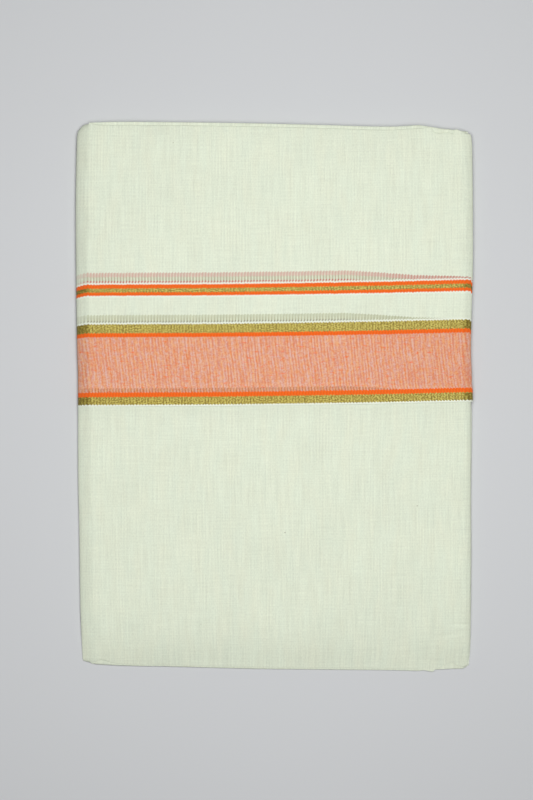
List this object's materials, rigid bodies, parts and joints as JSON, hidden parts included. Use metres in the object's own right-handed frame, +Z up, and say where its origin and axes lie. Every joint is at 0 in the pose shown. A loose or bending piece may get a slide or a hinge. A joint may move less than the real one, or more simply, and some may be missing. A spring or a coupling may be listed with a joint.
{
  "type": "folded dhoti cloth",
  "caption": "Cotton dhoti folded flat into a soft packet, its woven border across the front, with a round spine and stacked folds at the open edges",
  "frame": {"origin": "on the table, at the middle of the packet's footprint", "axes": "+X runs from the round spine to the open folds, +Y from the bottom fold to the top fold, +Z up out of the front face"},
  "size_m": [0.307, 0.4246, 0.0144],
  "materials": {
    "bordered_cotton": "cream handloom cotton with a woven border of orange, gold zari and salmon bands, matt with a slight glint in the gold",
    "plain_cotton": "cream handloom cotton, plain weave with fine ribs, matt",
    "layered_cotton": "cream handloom cotton in stacked folds, matt"
  },
  "bodies": {
    "root": {"border_flap": "bordered_cotton", "body_wrap": "plain_cotton", "folded_layers": "layered_cotton"}
  },
  "joints": []
}
